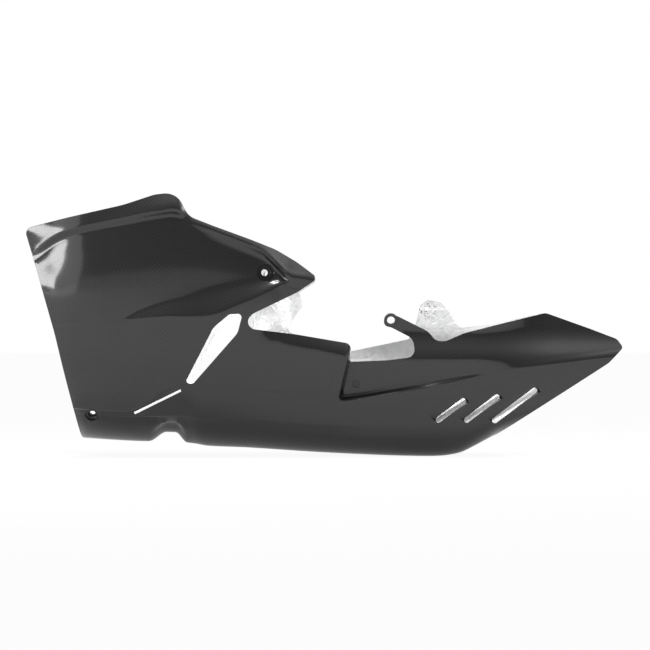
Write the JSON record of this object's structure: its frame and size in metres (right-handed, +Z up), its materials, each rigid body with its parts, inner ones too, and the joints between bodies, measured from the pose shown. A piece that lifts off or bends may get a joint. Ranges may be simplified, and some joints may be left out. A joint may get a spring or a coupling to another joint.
{
  "type": "motorcycle belly pan",
  "caption": "One-piece carbon-weave belly pan with tall front panels and a beak, a belly with a transverse channel and stepped, louvred tails, foil-lined on the right.",
  "frame": {"origin": "centre of the box, at the lowest point of the floor", "axes": "+X towards the rear of the motorcycle, +Y to its right side, +Z up"},
  "size_m": [0.8041, 0.4084, 0.3549],
  "materials": {
    "carbon": "plain-weave carbon under a clear coat",
    "foil": "crinkled, satin"
  },
  "bodies": {
    "root": {"pan_shell": "carbon", "heat_foil": "foil"}
  },
  "joints": []
}
